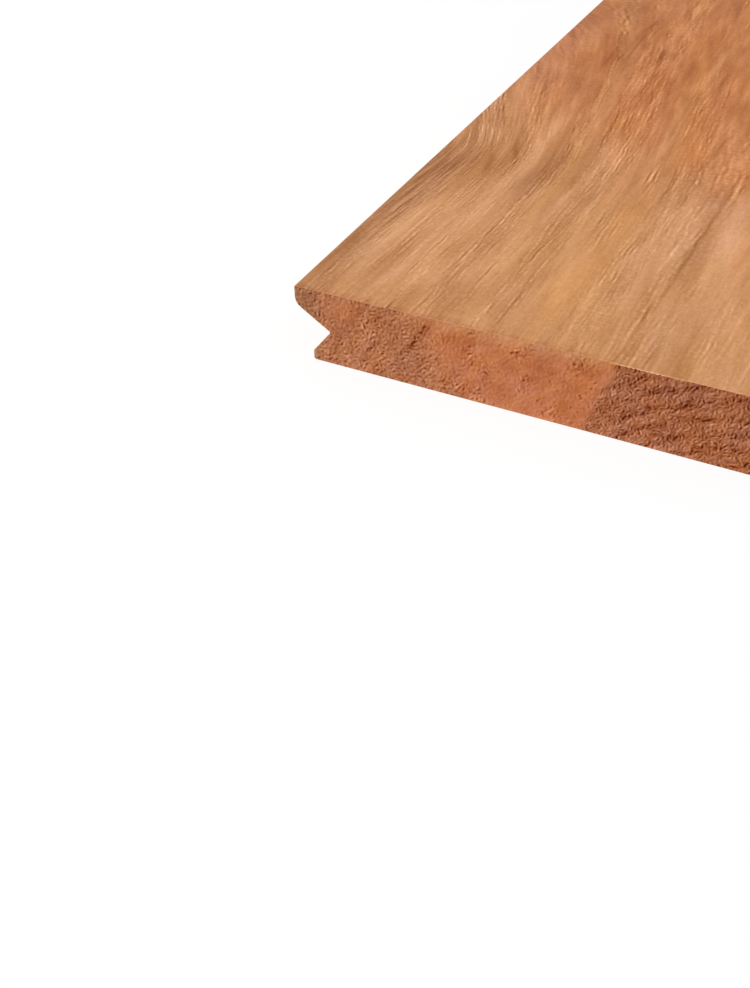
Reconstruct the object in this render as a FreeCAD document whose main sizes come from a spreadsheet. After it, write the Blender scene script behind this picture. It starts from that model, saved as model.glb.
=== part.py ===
"""Hardwood decking board, planed on all faces, with a V groove along each long edge.

The board is one sawn piece. Its width runs along X, its length along Y and its thickness along Z.
The origin is the middle of the underside, which rests on the joists, and +Z is the walking face.

Each long edge is milled to the same section, so that a hidden clip can sit between two boards.
The upper lip is the full width of the board. The groove runs in under it to a root, and the lower
lip stands back from the upper one, which leaves room for the clip's foot and for water.
"""

import FreeCAD, Part
import os
import Sketcher

DOCUMENT_NAME = "DeckingBoard"
OUTPUT_FOLDER = "parts"
NODE_NAME = "decking_board"
POSITION_TOLERANCE = 1e-4

# Driving dimensions, in millimetres
DIMENSIONS = [
    ("board_width", 145.0, "across both upper lips"),
    ("board_thickness", 21.0, "underside to walking face"),
    ("board_length", 1850.0, "one sawn end to the other"),
    ("upper_lip_thickness", 5.0, "walking face to the groove's upper flank, at the edge"),
    ("groove_depth", 10.2, "edge of the upper lip to the groove's root"),
    ("groove_root_height", 9.5, "underside to the groove's root"),
    ("lower_lip_setback", 5.0, "edge of the upper lip to the edge of the lower lip"),
    ("lower_lip_thickness", 2.8, "underside to the groove's lower flank, at the edge"),
    ("face_arris_radius", 0.4, "eased corner between the walking face and the edge"),
    ("upper_lip_nose_radius", 3.5, "rounded nose between the edge and the groove's upper flank"),
    ("groove_root_radius", 0.4, "corner that the cutter leaves at the root"),
    ("lower_lip_nose_radius", 1.1, "rounded corner between the groove's lower flank and the lip's face"),
    ("lower_lip_foot_radius", 0.7, "eased corner between the lower lip's face and the underside"),
]


def make_dimension_sheet(doc):
    """Puts every driving dimension in a cell of its own, with an alias and a note."""
    sheet = doc.addObject("Spreadsheet::Sheet", "Dimensions")
    for row, (alias, value, note) in enumerate(DIMENSIONS, start=1):
        sheet.set(f"A{row}", alias)
        sheet.set(f"B{row}", str(value))
        sheet.set(f"C{row}", note)
        sheet.setAlias(f"B{row}", alias)
    doc.recompute()
    return sheet


def origin_plane(body, role):
    """Returns the body's own origin plane with this role, such as XZ_Plane."""
    return next(plane for plane in body.Origin.OriginFeatures if plane.Role == role)


def section_sketch(body, name):
    """Starts a sketch across the board's length: its x is the width and its y the height."""
    sketch = body.newObject("Sketcher::SketchObject", name)
    sketch.AttachmentSupport = [(origin_plane(body, "XZ_Plane"), "")]
    sketch.MapMode = "FlatFace"
    return sketch


def add_closed_outline(sketch, corners):
    """Draws straight lines round the corners and joins them end to end."""
    count = len(corners)
    for index, corner in enumerate(corners):
        following = corners[(index + 1) % count]
        sketch.addGeometry(Part.LineSegment(FreeCAD.Vector(*corner, 0), FreeCAD.Vector(*following, 0)))
    for index in range(count):
        sketch.addConstraint(Sketcher.Constraint("Coincident", index, 2, (index + 1) % count, 1))


def bind_distance(sketch, kind, first, second, name, expression):
    """Adds a distance between two points, each (line, end), and binds it to the dimension sheet."""
    value = sketch.getPoint(*second) - sketch.getPoint(*first)
    length = value.x if kind == "DistanceX" else value.y
    index = sketch.addConstraint(Sketcher.Constraint(kind, *first, *second, length))
    sketch.renameConstraint(index, name)
    sketch.setExpression(f"Constraints.{name}", expression)


def pad_blank(body, sheet):
    """Planed blank: a rectangle, centred on the width, padded half each way along the length."""
    half_width = sheet.board_width / 2
    top = sheet.board_thickness
    sketch = section_sketch(body, "BlankSection")
    add_closed_outline(
        sketch, [(-half_width, 0), (half_width, 0), (half_width, top), (-half_width, top)]
    )
    underside, right_edge, walking_face, left_edge = range(4)
    for line in (underside, walking_face):
        sketch.addConstraint(Sketcher.Constraint("Horizontal", line))
    for line in (right_edge, left_edge):
        sketch.addConstraint(Sketcher.Constraint("Vertical", line))
    sketch.addConstraint(Sketcher.Constraint("Symmetric", underside, 1, underside, 2, -1, 1))
    bind_distance(
        sketch, "DistanceX", (underside, 1), (underside, 2), "width", "Dimensions.board_width"
    )
    bind_distance(
        sketch, "DistanceY", (right_edge, 1), (right_edge, 2), "thickness", "Dimensions.board_thickness"
    )
    blank = body.newObject("PartDesign::Pad", "Blank")
    blank.Profile = sketch
    blank.SideType = "Symmetric"
    blank.setExpression("Length", "Dimensions.board_length")
    return blank


def mill_left_groove(body, sheet):
    """Left edge: one cut makes the groove's two flanks and the face of the lower lip.

    The cut is as far outside the board, and below it, as the groove is deep.
    """
    edge = -sheet.board_width / 2
    outside = edge - sheet.groove_depth
    sketch = section_sketch(body, "GrooveSection")
    add_closed_outline(
        sketch,
        [
            (outside, sheet.board_thickness - sheet.upper_lip_thickness),
            (edge, sheet.board_thickness - sheet.upper_lip_thickness),
            (edge + sheet.groove_depth, sheet.groove_root_height),
            (edge + sheet.lower_lip_setback, sheet.lower_lip_thickness),
            (edge + sheet.lower_lip_setback, -sheet.groove_depth),
            (outside, -sheet.groove_depth),
        ],
    )
    lip_line, upper_flank, lower_flank, lower_lip_face, bottom_line, outside_line = range(6)
    origin_point = (-1, 1)
    for line in (lip_line, bottom_line):
        sketch.addConstraint(Sketcher.Constraint("Horizontal", line))
    for line in (lower_lip_face, outside_line):
        sketch.addConstraint(Sketcher.Constraint("Vertical", line))
    half_width = "Dimensions.board_width / 2"
    for kind, first, second, name, expression in (
        ("DistanceX", (upper_flank, 1), origin_point, "edge", half_width),
        ("DistanceX", (lip_line, 1), origin_point, "outside", f"{half_width} + Dimensions.groove_depth"),
        (
            "DistanceY",
            origin_point,
            (upper_flank, 1),
            "upper_lip_underside",
            "Dimensions.board_thickness - Dimensions.upper_lip_thickness",
        ),
        ("DistanceX", (upper_flank, 1), (upper_flank, 2), "depth", "Dimensions.groove_depth"),
        ("DistanceY", origin_point, (upper_flank, 2), "root_height", "Dimensions.groove_root_height"),
        ("DistanceX", (upper_flank, 1), (lower_flank, 2), "setback", "Dimensions.lower_lip_setback"),
        ("DistanceY", origin_point, (lower_flank, 2), "lower_lip", "Dimensions.lower_lip_thickness"),
        ("DistanceY", (lower_lip_face, 2), origin_point, "below", "Dimensions.groove_depth"),
    ):
        bind_distance(sketch, kind, first, second, name, expression)
    groove = body.newObject("PartDesign::Pocket", "LeftGroove")
    groove.Profile = sketch
    groove.SideType = "Symmetric"
    groove.Type = "ThroughAll"
    return groove


def mirror_to_right_edge(body, groove):
    """Right edge: the same cut, mirrored across the board's middle."""
    both = body.newObject("PartDesign::Mirrored", "BothGrooves")
    both.Originals = [groove]
    both.MirrorPlane = (origin_plane(body, "YZ_Plane"), [""])
    body.Tip = both
    return both


def edges_along_board(shape, half_width, height):
    """Names the two edges that run the board's length at this height, one on each side."""
    names = []
    for index, edge in enumerate(shape.Edges, start=1):
        start, end = (vertex.Point for vertex in (edge.firstVertex(), edge.lastVertex()))
        along_board = abs(start.x - end.x) < POSITION_TOLERANCE < abs(start.y - end.y)
        in_place = all(
            abs(abs(point.x) - half_width) < POSITION_TOLERANCE
            and abs(point.z - height) < POSITION_TOLERANCE
            for point in (start, end)
        )
        if along_board and in_place:
            names.append(f"Edge{index}")
    return names


def ease_arrises(body, base, name, half_width, height, radius_name):
    """Rounds the two edges at this half width and height to a radius from the dimension sheet."""
    edges = edges_along_board(base.Shape, half_width, height)
    if len(edges) != 2:
        raise RuntimeError(f"{name}: expected 2 edges and found {len(edges)}")
    arris = body.newObject("PartDesign::Fillet", name)
    arris.Base = (base, edges)
    arris.setExpression("Radius", f"Dimensions.{radius_name}")
    return arris


def make_board(doc, sheet):
    """The whole board: blank, a groove along each edge, then the eased corners."""
    body = doc.addObject("PartDesign::Body", "Board")
    body.Label = NODE_NAME
    blank = pad_blank(body, sheet)
    doc.recompute()
    blank_volume = blank.Shape.Volume

    groove = mill_left_groove(body, sheet)
    doc.recompute()
    if groove.Shape.Volume >= blank_volume:
        raise RuntimeError("the groove cut nothing")

    both = mirror_to_right_edge(body, groove)
    doc.recompute()
    if both.Shape.Volume >= groove.Shape.Volume:
        raise RuntimeError("the mirrored groove cut nothing")

    edge = sheet.board_width / 2
    root = edge - sheet.groove_depth
    lower_edge = edge - sheet.lower_lip_setback
    lip_underside = sheet.board_thickness - sheet.upper_lip_thickness
    last = both
    for name, half_width, height, radius_name in (
        ("FaceArrises", edge, sheet.board_thickness, "face_arris_radius"),
        ("UpperLipNoses", edge, lip_underside, "upper_lip_nose_radius"),
        ("GrooveRoots", root, sheet.groove_root_height, "groove_root_radius"),
        ("LowerLipNoses", lower_edge, sheet.lower_lip_thickness, "lower_lip_nose_radius"),
        ("LowerLipFeet", lower_edge, 0.0, "lower_lip_foot_radius"),
    ):
        last = ease_arrises(body, last, name, half_width, height, radius_name)
        doc.recompute()
    body.Tip = last
    body.Placement = FreeCAD.Placement()
    doc.recompute()
    return body


def check_document(doc, body):
    """Stops before anything is written if an object failed or the board isn't one sound solid."""
    failed = [
        item.Label for item in doc.Objects if "Invalid" in item.State or "Error" in item.State
    ]
    if failed:
        raise RuntimeError(f"these objects failed: {failed}")
    loose = [
        item.Label
        for item in doc.Objects
        if item.TypeId == "Sketcher::SketchObject" and not item.FullyConstrained
    ]
    if loose:
        raise RuntimeError(f"these sketches aren't fully constrained: {loose}")
    shape = body.Shape
    if shape.isNull() or not shape.isValid() or len(shape.Solids) != 1:
        raise RuntimeError(f"{body.Label} isn't one valid solid")


def main():
    doc = FreeCAD.newDocument(DOCUMENT_NAME)
    sheet = make_dimension_sheet(doc)
    body = make_board(doc, sheet)
    check_document(doc, body)
    os.makedirs(OUTPUT_FOLDER, exist_ok=True)
    body.Shape.exportStep(os.path.join(OUTPUT_FOLDER, f"{body.Label}.step"))
    box = body.Shape.BoundBox
    print(f"{body.Label}: {box.XLength:.2f} x {box.YLength:.2f} x {box.ZLength:.2f} mm,", end=" ")
    print(f"{len(body.Shape.Faces)} faces, {body.Shape.Volume / 1e6:.4f} litres")


main()
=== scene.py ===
# %% [markdown]
# # A grooved hardwood decking board
#
# The board is one sawn piece: planed on its faces, milled with a V groove along each long edge, and
# cut square at both ends. Its shape is simple, so nearly all of its character is in the wood. This
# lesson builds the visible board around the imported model, gives the sawn ends their torn fibres as
# real relief, and then makes the two finishes, planed long grain and raw end grain, from the same
# growth rings, so that they meet at the edges as they do in a real board.

# %% Load the fixed frame
import math

import bpy
import numpy as np
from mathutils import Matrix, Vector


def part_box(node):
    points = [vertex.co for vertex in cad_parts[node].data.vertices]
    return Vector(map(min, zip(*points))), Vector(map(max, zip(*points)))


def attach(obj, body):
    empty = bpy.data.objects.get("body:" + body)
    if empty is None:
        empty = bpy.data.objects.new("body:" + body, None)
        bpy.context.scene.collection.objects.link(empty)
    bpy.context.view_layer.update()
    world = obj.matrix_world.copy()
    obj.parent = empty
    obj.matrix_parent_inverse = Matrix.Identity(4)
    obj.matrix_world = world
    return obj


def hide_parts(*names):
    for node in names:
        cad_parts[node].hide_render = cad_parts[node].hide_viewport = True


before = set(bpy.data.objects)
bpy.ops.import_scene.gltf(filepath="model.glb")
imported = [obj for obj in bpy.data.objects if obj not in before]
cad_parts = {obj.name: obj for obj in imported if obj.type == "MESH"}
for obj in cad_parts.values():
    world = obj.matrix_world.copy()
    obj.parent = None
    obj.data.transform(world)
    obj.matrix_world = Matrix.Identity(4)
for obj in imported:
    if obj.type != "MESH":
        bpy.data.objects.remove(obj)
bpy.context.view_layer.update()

# %% [markdown]
# ## Sizes
#
# Everything is worked out in millimetres, as a joiner would measure it, and turned into metres only
# when it reaches the mesh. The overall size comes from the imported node. The section's own sizes, such
# as the lips and the groove's root, are those of the milled profile.

# %% The board's sizes
MM = 0.001
NODE = "decking_board"
low_corner, high_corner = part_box(NODE)
WIDTH = (high_corner[0] - low_corner[0]) / MM
LENGTH = (high_corner[1] - low_corner[1]) / MM
THICKNESS = (high_corner[2] - low_corner[2]) / MM
HALF_WIDTH = WIDTH / 2
HALF_LENGTH = LENGTH / 2

# Corners of the right half's section: distance in from the upper lip's edge, height, radius
SECTION_CORNERS = np.array([
    [5.0, 0.0, 0.7],
    [5.0, 2.8, 1.1],
    [10.2, 9.5, 0.4],
    [0.0, 16.0, 3.5],
    [0.0, THICKNESS, 0.4],
])
print(f"board {WIDTH:.1f} x {LENGTH:.1f} x {THICKNESS:.1f} mm")

# %% [markdown]
# ## The milled section
#
# A cutter leaves straight flanks that meet in small arcs. Each arc could be a bevel modifier, but a
# bevel can't tell a worn lip from a cutter's root. Here each corner is an arc that touches both
# straight sides, worked out from its radius, and the straights between are divided evenly.


# %% One eased corner
def unit(vector):
    """The same direction with a length of one: the vector divided by its length."""
    return vector / np.linalg.norm(vector)


def eased_corner(before, corner, after, radius, step):
    """Points no further apart than step on the arc that touches both sides of a corner.

    The sides leave the corner at an angle of two halves. The centre is radius / sin(half) away along
    the bisector, the arc touches each side radius / tan(half) from the corner, and its points turn
    evenly about the centre from one touching point to the other.
    """
    to_before, to_after = unit(before - corner), unit(after - corner)
    half = np.arccos(np.clip(to_before @ to_after, -1, 1)) / 2
    centre = corner + unit(to_before + to_after) * radius / np.sin(half)
    start = corner + to_before * radius / np.tan(half) - centre
    end = corner + to_after * radius / np.tan(half) - centre
    sweep = np.arctan2(start[0] * end[1] - start[1] * end[0], start @ end)
    parts = max(4, math.ceil(radius * abs(sweep) / step))
    turn = sweep * np.linspace(0, 1, parts + 1)[:, None]
    across = np.array([-start[1], start[0]])
    return centre + start * np.cos(turn) + across * np.sin(turn)


# %% The right side of the section, from the underside up to the walking face
def milled_side(step):
    """The side's outline as (x, z) points, and which of them are on arcs.

    Corner arcs are joined by straights, and each straight is divided evenly in steps of height.
    """
    corners = np.column_stack([HALF_WIDTH - SECTION_CORNERS[:, 0], SECTION_CORNERS[:, 1]])
    path = np.vstack([[0.0, 0.0], corners, [0.0, THICKNESS]])
    arcs = [
        eased_corner(path[k], path[k + 1], path[k + 2], SECTION_CORNERS[k, 2], step)
        for k in range(len(corners))
    ]
    points, on_arc = [arcs[0]], [np.ones(len(arcs[0]), bool)]
    for previous, arc in zip(arcs, arcs[1:]):
        rise = abs(arc[0, 1] - previous[-1, 1])
        parts = np.linspace(0, 1, math.ceil(rise / step) + 1)[1:-1, None]
        points += [previous[-1] + (arc[0] - previous[-1]) * parts, arc]
        on_arc += [np.zeros(len(parts), bool), np.ones(len(arc), bool)]
    return np.vstack(points), np.concatenate(on_arc)


END_STEP = 0.3
side, side_on_arc = milled_side(END_STEP)
print(f"side outline: {len(side)} points, {side_on_arc.sum()} of them on arcs")

# %% [markdown]
# ## Growth rings
#
# The board was sawn from one side of a log, so its rings are arcs about a heart that lies below its
# right side. Two things follow from that one centre: the slanting bands on the sawn end, and the
# straight streaks on the walking face, where the rings run out along the board. The relief of the
# ends, which numpy makes, and the colours, which the shader makes, both measure from it.

# %% The heart of the log, in the board's own section
HEART_X, HEART_Z = 58.5, -52.0
FRONT_Y = -HALF_LENGTH


def ring_distance(x, z):
    """How far a point of the section is from the heart: the square root of dx squared plus dz squared."""
    return np.hypot(x - HEART_X, z - HEART_Z)


print(f"rings cross the board from {ring_distance(-HALF_WIDTH, THICKNESS):.0f} mm", end=" ")
print(f"to {ring_distance(HEART_X, 0):.0f} mm from the heart")

# %% [markdown]
# ## Torn fibres on the sawn end
#
# A saw doesn't slice end grain, it tears it. The ends of the vessels and the soft tissue round them
# fold into a maze of little worm-shaped ridges, all about the same distance apart. A noise texture
# has bumps of every size, so it doesn't look like that. Many plane waves of nearly one wavelength,
# added up in every direction, give just such a maze. Two broader mazes swell and sink under the fine
# one, and every few millimetres a growth ring runs through them as a narrow low line.


# %% A maze of nearly equal waves
def wave_maze(x, z, wavelength, spread, waves, seed, stretch=1.0, lean=0.0):
    """Sums cosine waves of random direction and phase, with lengths within spread of one wavelength.

    Each wave is cos(2 pi * (distance along its direction) / its length + its phase). The sum is scaled
    to a standard deviation of one. Stretch draws the maze out along a direction leaning by lean.
    """
    rng = np.random.default_rng(seed)
    heading = rng.uniform(0, 2 * np.pi, waves)
    lengths = wavelength * rng.uniform(1 - spread, 1 + spread, waves)
    phase = rng.uniform(0, 2 * np.pi, waves)
    along = (x * np.cos(lean) + z * np.sin(lean)) / stretch
    across = z * np.cos(lean) - x * np.sin(lean)
    travel = along[..., None] * np.cos(heading) + across[..., None] * np.sin(heading)
    return np.cos(2 * np.pi * travel / lengths + phase).sum(-1) * np.sqrt(2 / waves)


def smooth_step(value, start, end):
    """Zero before start, one after end, and the curve 3t^2 - 2t^3 between them."""
    t = np.clip((value - start) / (end - start), 0, 1)
    return t * t * (3 - 2 * t)


def between(share, first, second):
    """The first value where the share is zero, the second where it is one, and evenly in between."""
    return first + (second - first) * share


def spot(x, z, centre_x, centre_z, half_width, half_height):
    """One at the centre and falling off like exp(-d^2), with d in half widths and half heights."""
    return np.exp(-(((x - centre_x) / half_width) ** 2) - ((z - centre_z) / half_height) ** 2)


# %% Where the end is coarse
# From the left edge, height, half width, half height
PORE_CLUSTERS = [
    (51.0, 3.2, 2.4, 1.8),
    (45.0, 3.0, 2.0, 1.5),
    (48.5, 14.0, 1.6, 1.6),
    (53.0, 10.0, 1.4, 2.0),
    (60.5, 17.5, 1.6, 1.4),
    (70.5, 2.2, 2.6, 1.4),
    (76.0, 18.5, 1.8, 2.4),
]


def coarseness(x, z, seed):
    """How coarse the wood is at a point of an end, and how far it is in the left and right zones.

    All three are from 0 to 1. The wood is coarse on both sides of a smoother band of denser wood,
    whose borders slant and wander. The upper lip has a calm patch near its tip, and the smooth band
    has a few clusters of open pores.
    """
    from_left = x + HALF_WIDTH
    wander = 2.5 * wave_maze(x, z, 12.0, 0.5, 24, seed)
    left = 1 - smooth_step(from_left + wander - 0.5 * (THICKNESS - z), 27.0, 46.0)
    right = smooth_step(from_left + 0.3 * wander - 0.22 * (z - 10.0), 80.8, 83.2)
    calm = spot(from_left, z, 13.5, 17.0, 6.0, 3.8)
    loose = smooth_step(wave_maze(x, z, 6.0, 0.6, 20, seed + 1, stretch=1.8, lean=0.7), 0.6, 1.8)
    clusters = sum(spot(from_left, z, *cluster) for cluster in PORE_CLUSTERS)
    coarse = 0.3 + 0.48 * left * (1 - 0.8 * calm) + 0.7 * right
    coarse = np.clip(coarse + (0.35 * loose + 0.75 * clusters) * (1 - right), 0, 1)
    return coarse, left * (1 - 0.6 * calm), right


# %% The torn surface
# One ring on the left is torn deeply, and the low lines are counted from one ring on the right. Both
# are measured from the heart.
DEEP_RING = 116.8
DEEP_RING_HALF_WIDTH = 0.9
LOW_RING = 72.6
RING_SPACING = 4.3


def torn_fibres(x, z, seed):
    """How far a point stands above the middle of the torn surface, and its shade.

    A fine, a coarse and a slow maze are added to the growth rings, each with a weight for the left side and
    one for the right. The rings are 1.3 - exp(wave), so the low lines are narrow and the wood between them
    broad. The shade has less of the fine maze, because the finish adds its own. This shade is partly the
    rings' own colour and partly painted shade: like the relief, it is darker where the surface is low and
    lighter where it is high.
    """
    fine = wave_maze(x, z, 1.15, 0.36, 64, seed, stretch=1.4, lean=1.1)
    coarse = wave_maze(x, z, 1.9, 0.3, 40, seed + 1, stretch=1.5, lean=1.0)
    slow = wave_maze(x, z, 3.7, 0.4, 30, seed + 4, stretch=1.4, lean=0.9)
    waver = 0.4 * wave_maze(x, z, 7.0, 0.5, 20, seed + 2)
    radius = ring_distance(x, z) + waver
    uneven = 0.25 * wave_maze(x, z, 4.0, 0.5, 20, seed + 3, stretch=2.5, lean=0.55)
    rings = 1.3 - np.exp(np.cos(2 * np.pi * (radius - LOW_RING) / RING_SPACING) + uneven)
    deep = np.exp(-(((radius - DEEP_RING) / DEEP_RING_HALF_WIDTH) ** 2))
    deep = deep * smooth_step(z, 5.0, 9.0) * (x < HEART_X)
    on_right = smooth_step(x, 0.0, 20.0)
    broader = between(on_right, 0.22, 0.3) * coarse + between(on_right, 0.16, 0.06) * slow
    broader = broader + between(on_right, 0.12, 0.5) * rings - 1.8 * deep
    return broader + between(on_right, 0.75, 0.4) * fine, broader + between(on_right, 0.5, 0.27) * fine


# %% [markdown]
# ## The board's surface
#
# One closed surface carries the whole board. Each end is a grid: its rows are heights on the section,
# and its columns run from edge to edge at that height. The end's rim is a few tenths of a millimetre
# inside the section, which leaves a tiny eased edge round the saw cut. From there the section is
# carried along the board in rings. Only the ends need fine columns, so a ring of triangles steps
# down from the fine outline to a coarse one.

# %% The end grid and its rim
COLUMNS = int(round(WIDTH / END_STEP))
ROWS = len(side)
SAWN_EDGE = 0.12

column_share = np.linspace(-1, 1, COLUMNS)
tangent = np.gradient(side, axis=0)
outward = np.column_stack([tangent[:, 1], -tangent[:, 0]]) / np.linalg.norm(tangent, axis=1)[:, None]
outward[0], outward[-1] = (0.0, -1.0), (0.0, 1.0)
inset_side = side - outward * SAWN_EDGE


def section_grid(outline):
    """A grid over the section: x = column share times half width at that height, z = the height."""
    x = column_share[None, :] * outline[:, :1]
    z = np.broadcast_to(outline[:, 1:], x.shape)
    return x, z


grid_index = np.arange(ROWS * COLUMNS).reshape(ROWS, COLUMNS)
rim = np.concatenate([
    grid_index[0, :],
    grid_index[1:, -1],
    grid_index[-1, -2::-1],
    grid_index[-2:0:-1, 0],
])
print(f"end grid {ROWS} x {COLUMNS}, rim of {len(rim)} points")


# %% Which rim points carry on along the board
COLUMNS_KEPT_EVERY = 24
ROWS_KEPT_EVERY = 12
keep_column = np.arange(COLUMNS) % COLUMNS_KEPT_EVERY == 0
keep_column[[1, -2, -1]] = True
near_arc = side_on_arc.copy()
near_arc[1:] |= side_on_arc[:-1]
near_arc[:-1] |= side_on_arc[1:]
keep_row = near_arc | (np.arange(ROWS) % ROWS_KEPT_EVERY == 0)
keep = np.concatenate([keep_column, keep_row[1:], keep_column[-2::-1], keep_row[-2:0:-1]])
coarse_of_rim = np.flatnonzero(keep)
print(f"{len(coarse_of_rim)} of them go on along the board")

# %% Rings of points along the board
# Relief is the depth that goes with one unit of the torn surface, and torn levels are its shade, partly the
# rings' own colour and partly painted shade that is darker where the surface is low
RELIEF = 0.06
TORN_LEVELS = 15.0
RIM_FADE = 0.6
RING_STEP = 46.0
FIRST_RING = 5.0
full_x, full_z = section_grid(side)
inset_x, inset_z = section_grid(inset_side)
outline_x, outline_z = full_x.ravel()[rim], full_z.ravel()[rim]
middle_rings = np.linspace(FIRST_RING - HALF_LENGTH, HALF_LENGTH - FIRST_RING, int(LENGTH / RING_STEP))


def sawn_end(which, seed):
    """Points of one end, and for each its coarseness, its zones and its shade in levels of 255.

    Relief only goes inwards from the saw cut, and fades out at the rim so that the edge stays clean. The
    shade follows the relief, so it is partly painted shade in the low places.
    """
    x = inset_x * -which
    coarse, left, right = coarseness(x, inset_z, seed)
    torn, shade = torn_fibres(x, inset_z, seed + 10)
    to_rim = np.minimum(inset_side[:, :1] - np.abs(inset_x), np.minimum(inset_z, THICKNESS - inset_z))
    fade = smooth_step(to_rim, 0.0, RIM_FADE)
    depth = fade * coarse * RELIEF * np.clip(1.6 - torn, 0, 3.6)
    points = np.stack([inset_x, which * (HALF_LENGTH - depth), inset_z], -1)
    # Painted shade where the torn surface is low and painted light where it is high, besides the rings' own
    # darker lines
    levels = coarse * TORN_LEVELS * np.clip(shade, -2.6, 2.2) * (0.4 + 0.6 * fade)
    return points.reshape(-1, 3), {"coarse": coarse, "left": left, "right": right, "levels": levels}


def outline_ring(y, points=slice(None)):
    """The section's full outline at one place along the board."""
    x, z = outline_x[points], outline_z[points]
    return np.column_stack([x, np.full_like(x, y), z])


front, front_wood = sawn_end(-1, seed=11)
back, back_wood = sawn_end(1, seed=51)
blocks = [
    front,
    outline_ring(SAWN_EDGE - HALF_LENGTH),
    *[outline_ring(y, coarse_of_rim) for y in middle_rings],
    outline_ring(HALF_LENGTH - SAWN_EDGE),
    back,
]
starts = np.concatenate([[0], np.cumsum([len(block) for block in blocks])])
points = np.vstack(blocks)
print(f"{len(points)} points, deepest tear {np.ptp(front[:, 1]):.2f} mm")


# %% Faces between them
def grid_faces(index, outwards_is_front):
    """Two triangles for each cell of a grid of point numbers."""
    a, b, c, d = index[:-1, :-1], index[:-1, 1:], index[1:, 1:], index[1:, :-1]
    faces = np.concatenate([np.stack([a, b, c], -1), np.stack([a, c, d], -1)]).reshape(-1, 3)
    return faces if outwards_is_front else faces[:, ::-1]


def band_faces(first, second):
    """Two triangles for each pair of neighbours on two closed rings with the same number of points."""
    first_next, second_next = np.roll(first, -1), np.roll(second, -1)
    return np.concatenate([
        np.stack([first, second, second_next], -1),
        np.stack([first, second_next, first_next], -1),
    ])


def step_down_faces(fine, coarse, kept, flip):
    """Triangles between a fine closed ring and the coarse one made of its kept points.

    Each fine point belongs to the kept point nearest to it. A fine edge makes a triangle with the
    point that its start belongs to, and where the two ends belong to different points, a second
    triangle closes the gap between them.
    """
    count = len(fine)
    middles = (kept + np.append(kept[1:], kept[0] + count)) / 2
    owner = np.searchsorted(middles, np.arange(count)) % len(kept)
    owner_next = np.roll(owner, -1)
    fine_next = np.roll(fine, -1)
    edges = np.stack([fine, coarse[owner], fine_next], -1)
    changes = owner != owner_next
    gaps = np.stack([fine_next, coarse[owner], coarse[owner_next]], -1)[changes]
    faces = np.concatenate([edges, gaps])
    return faces[:, ::-1] if flip else faces


def ring_numbers(block):
    """The point numbers of one ring along the board."""
    return np.arange(starts[block], starts[block + 1])


last = len(blocks) - 1
front_faces = grid_faces(grid_index, True)
back_faces = grid_faces(grid_index + starts[last], False)
long_faces = np.concatenate([
    band_faces(rim, ring_numbers(1)),
    step_down_faces(ring_numbers(1), ring_numbers(2), coarse_of_rim, False),
    *[band_faces(ring_numbers(k), ring_numbers(k + 1)) for k in range(2, last - 2)],
    step_down_faces(ring_numbers(last - 1), ring_numbers(last - 2), coarse_of_rim, True),
    band_faces(ring_numbers(last - 1), rim + starts[last]),
])
faces = np.concatenate([long_faces, front_faces, back_faces])
print(f"{len(faces)} triangles, {len(long_faces)} of them along the board")

# %% [markdown]
# ## Checking the surface
#
# A shape that is carried about and exported has to be closed, with its faces outwards. Every edge of
# a closed surface is used once in each direction, and the volume that the faces enclose is positive
# when they point out. Both are quick sums over the whole array.

# %% Closed, and facing outwards
edges = np.concatenate([faces[:, [0, 1]], faces[:, [1, 2]], faces[:, [2, 0]]])
forward = edges[:, 0] * len(points) + edges[:, 1]
backward = edges[:, 1] * len(points) + edges[:, 0]
used_once = len(np.unique(forward)) == len(forward)
is_closed = used_once and np.array_equal(np.sort(forward), np.sort(backward))
corner_a, corner_b, corner_c = (points[faces[:, k]] for k in range(3))
litres = np.einsum("ij,ij->i", corner_a, np.cross(corner_b, corner_c)).sum() / 6e6
print(f"closed: {is_closed}, volume {litres:.3f} litres")

# %% [markdown]
# ## The map for the finish
#
# The finish is worked out in space, but a model that leaves this file carries it as a picture, laid
# out on a map. The grain runs along the board, so the picture can be stretched that way: the outline
# is unrolled into one long band across the lower part of the map, and the two ends get the rest at
# about three times the detail.


# %% Unroll the outline and lay out the ends
MAP_MARGIN = 0.01
MAP_SPAN = 0.98
BAND_HEIGHT = 0.69
END_BASES = (0.71, 0.855)


def board_map():
    """The map's (u, v) for each corner of each triangle.

    Along the board, u is the place along the length and v the distance round the section. On an end,
    u is the place across the width and v the height, at the same scale both ways.
    """
    ring_points = np.column_stack([outline_x, outline_z])
    stretches = np.linalg.norm(np.roll(ring_points, -1, axis=0) - ring_points, axis=1)
    girth = stretches.sum()
    round_rim = np.concatenate([[0], np.cumsum(stretches)[:-1]])
    around = np.zeros(len(points))
    around[rim] = round_rim
    around[rim + starts[last]] = round_rim
    for block in range(1, last):
        full = starts[block + 1] - starts[block] == len(rim)
        around[ring_numbers(block)] = round_rim if full else round_rim[coarse_of_rim]
    long_around = around[long_faces]
    wraps = np.ptp(long_around, axis=1) > girth / 2
    long_around[wraps[:, None] & (long_around < girth / 2)] += girth
    long_uv = np.stack([
        MAP_MARGIN + MAP_SPAN * (points[long_faces, 1] + HALF_LENGTH) / LENGTH,
        MAP_MARGIN + BAND_HEIGHT * long_around / girth,
    ], -1)
    end_uvs = [
        (points[end_faces][:, :, [0, 2]] + [HALF_WIDTH, 0.0]) * MAP_SPAN / WIDTH + [MAP_MARGIN, base]
        for end_faces, base in zip((front_faces, back_faces), END_BASES)
    ]
    return np.concatenate([long_uv, *end_uvs])


uv = board_map()
print(f"map spans {uv.min():.3f} to {uv.max():.3f}")

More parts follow.
